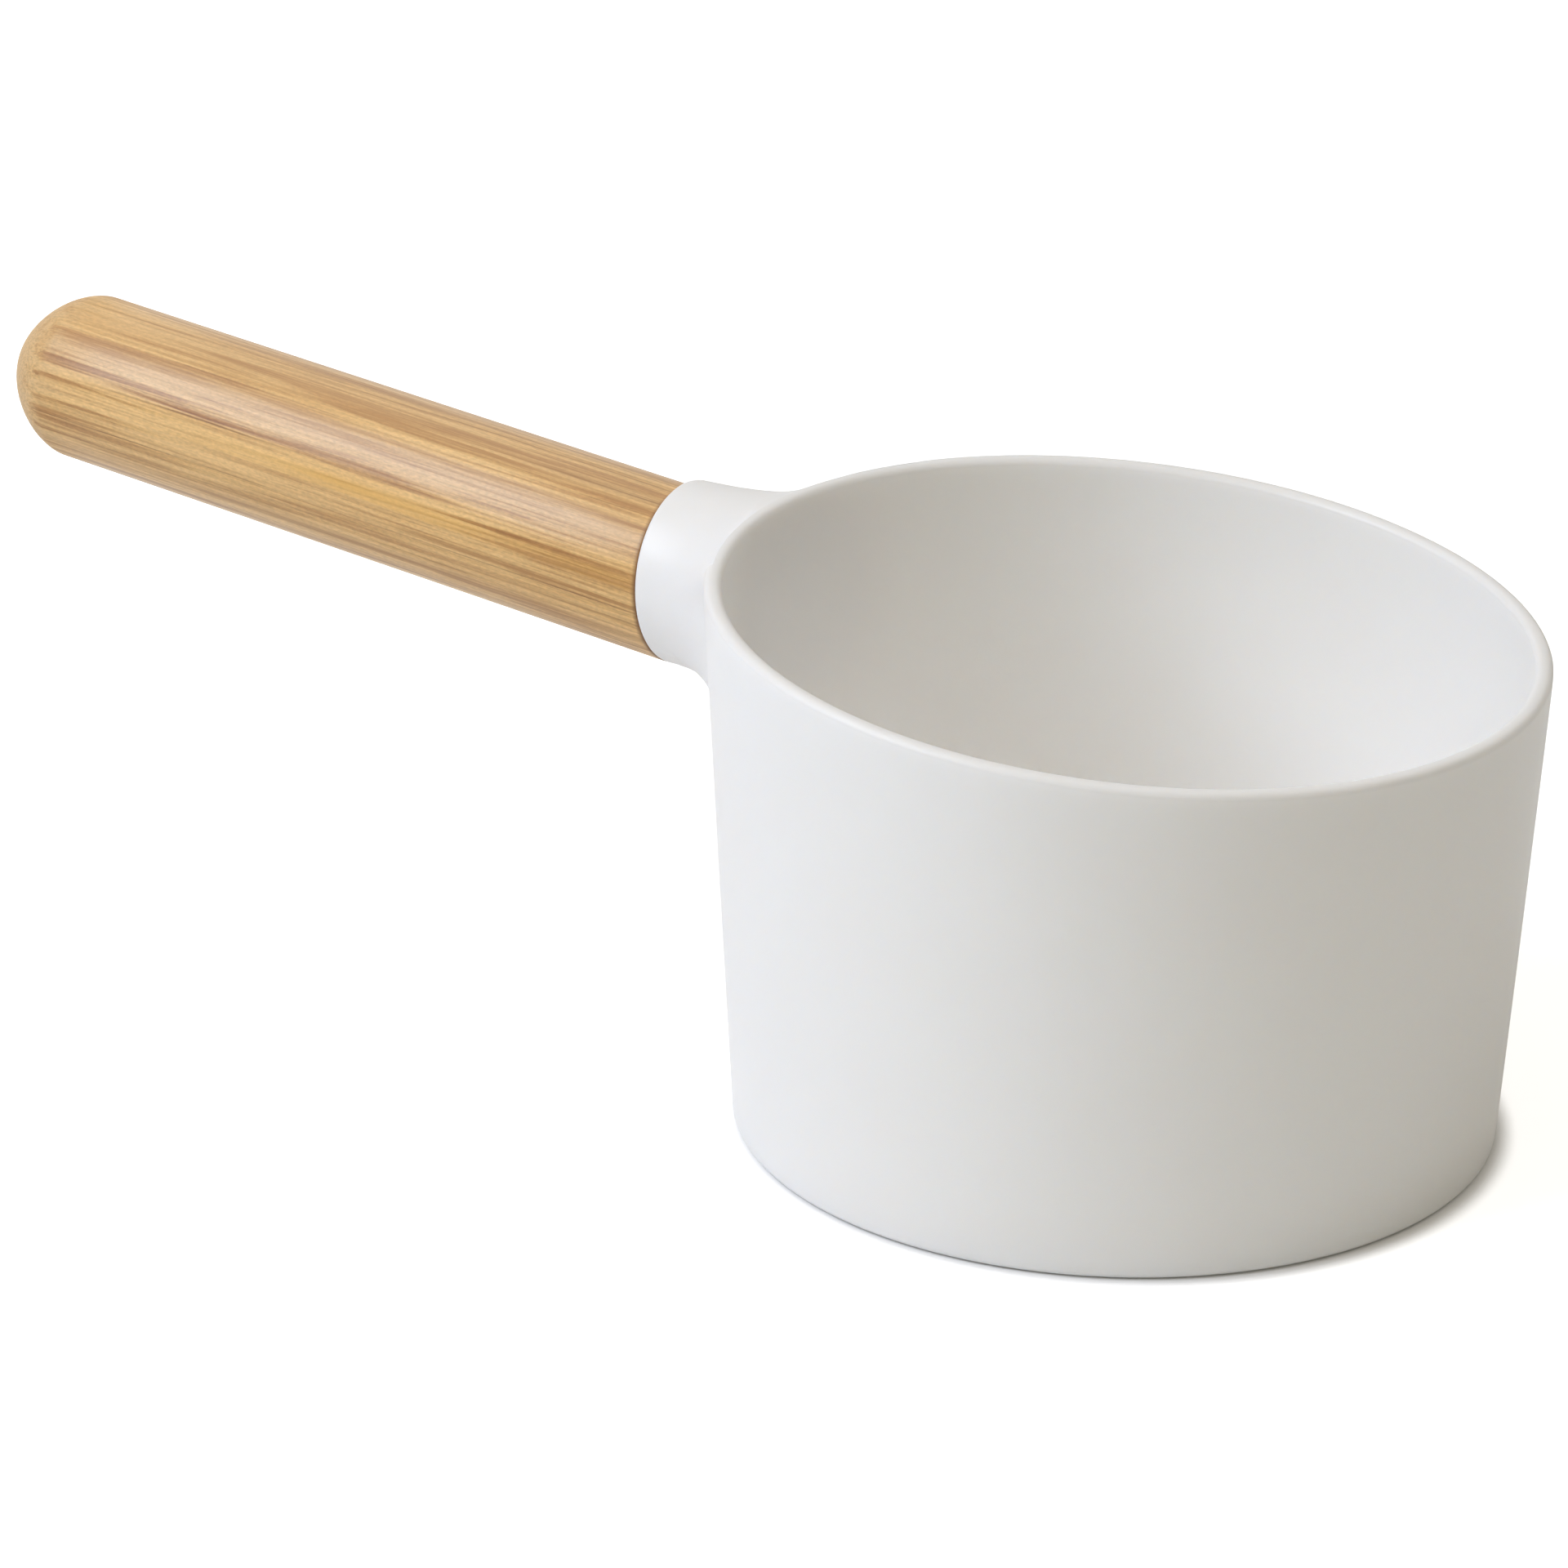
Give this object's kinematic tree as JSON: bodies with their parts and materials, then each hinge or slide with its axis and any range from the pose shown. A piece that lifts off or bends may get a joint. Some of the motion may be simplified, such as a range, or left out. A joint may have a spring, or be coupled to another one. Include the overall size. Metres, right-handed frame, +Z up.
{
  "type": "scoop",
  "caption": "Bath or kitchen scoop: a tapered round cup with a slanted rim and a short flared neck, and a turned bamboo handle screwed to the neck",
  "frame": {"origin": "Centre of the cup's flat base, on the ground plane z = 0", "axes": "+Z up; the handle points along -X and rises a little; the object mirrors across the plane y = 0"},
  "size_m": [0.2805, 0.1298, 0.0972],
  "materials": {
    "cup": "satin",
    "handle_grip": "satin lacquer",
    "hanger_bolt": "zinc plated",
    "threaded_insert": "machined"
  },
  "bodies": {
    "root": {"cup": "cup", "handle_grip": "handle_grip", "hanger_bolt": "hanger_bolt", "threaded_insert": "threaded_insert"}
  },
  "joints": []
}
